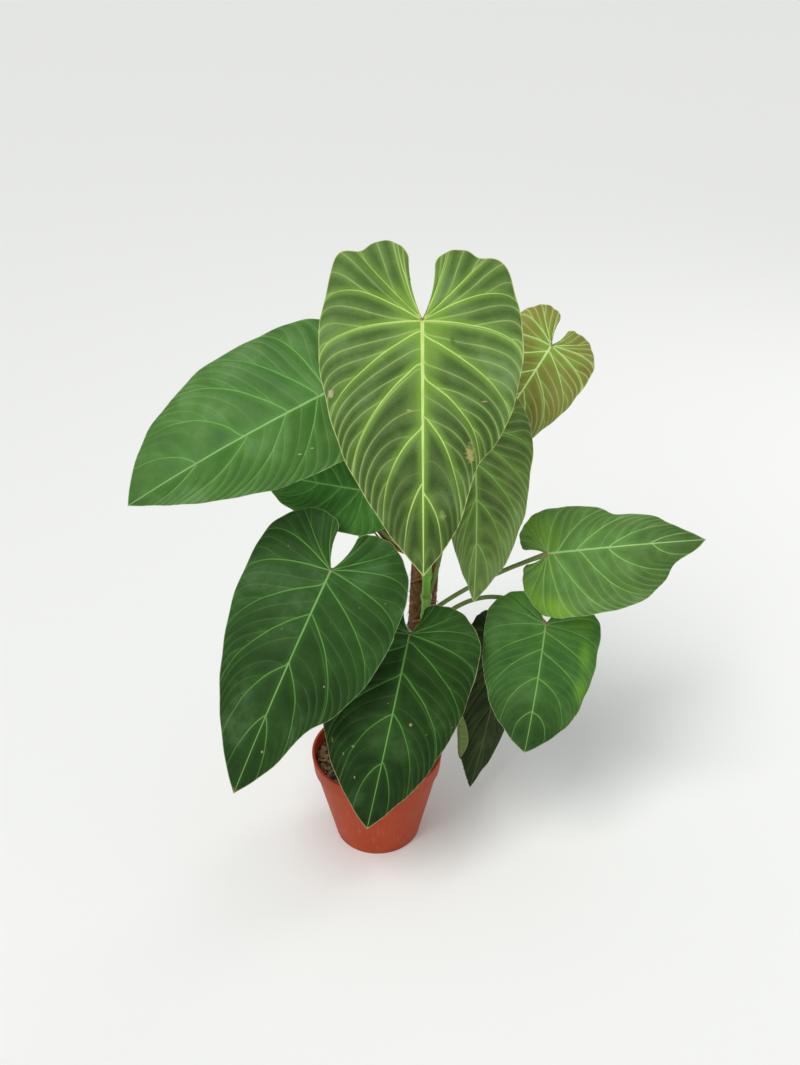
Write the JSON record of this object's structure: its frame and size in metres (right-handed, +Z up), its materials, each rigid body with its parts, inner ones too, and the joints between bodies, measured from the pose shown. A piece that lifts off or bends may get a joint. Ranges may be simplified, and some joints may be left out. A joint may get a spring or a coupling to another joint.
{
  "type": "potted splendid philodendron",
  "caption": "Climbing philodendron with large heart-shaped veined leaves on a coir pole, rooted in a plain tapered nursery pot.",
  "frame": {"origin": "centre of the pot's flat base, where it stands", "axes": "+Z up along the plant, -Y the front that the leaves face, +X to the right seen from the front"},
  "size_m": [0.5471, 0.2904, 0.7251],
  "materials": {
    "pot_plastic": "satin",
    "potting_mix": "matte",
    "pole_wood": "matte",
    "coir": "matte",
    "stem": "satin",
    "petiole": "satin",
    "tie_tape": "matte",
    "dry_sheath": "matte",
    "leaf_bright": "satin",
    "leaf_green": "satin",
    "leaf_dark": "satin",
    "leaf_young": "satin"
  },
  "bodies": {
    "root": {"pot": "pot_plastic", "soil": "potting_mix", "pole_core": "pole_wood", "coir_wrap": "coir", "main_stem": "stem", "tie_lower": "tie_tape", "tie_upper": "tie_tape", "blade_top": "leaf_bright", "petiole_top": "petiole", "blade_upper_left": "leaf_green", "petiole_upper_left": "petiole", "sheath_upper_left": "dry_sheath", "blade_mid_left": "leaf_green", "petiole_mid_left": "petiole", "sheath_mid_left": "dry_sheath", "blade_lower_left": "leaf_dark", "petiole_lower_left": "petiole", "blade_low_front": "leaf_dark", "petiole_low_front": "petiole", "sheath_low_front": "dry_sheath", "blade_mid_right": "leaf_green", "petiole_mid_right": "petiole", "blade_young_right": "leaf_young", "petiole_young_right": "petiole", "blade_right": "leaf_green", "petiole_right": "petiole", "blade_lower_right": "leaf_green", "petiole_lower_right": "petiole", "blade_low_back": "leaf_dark", "petiole_low_back": "petiole"}
  },
  "joints": []
}
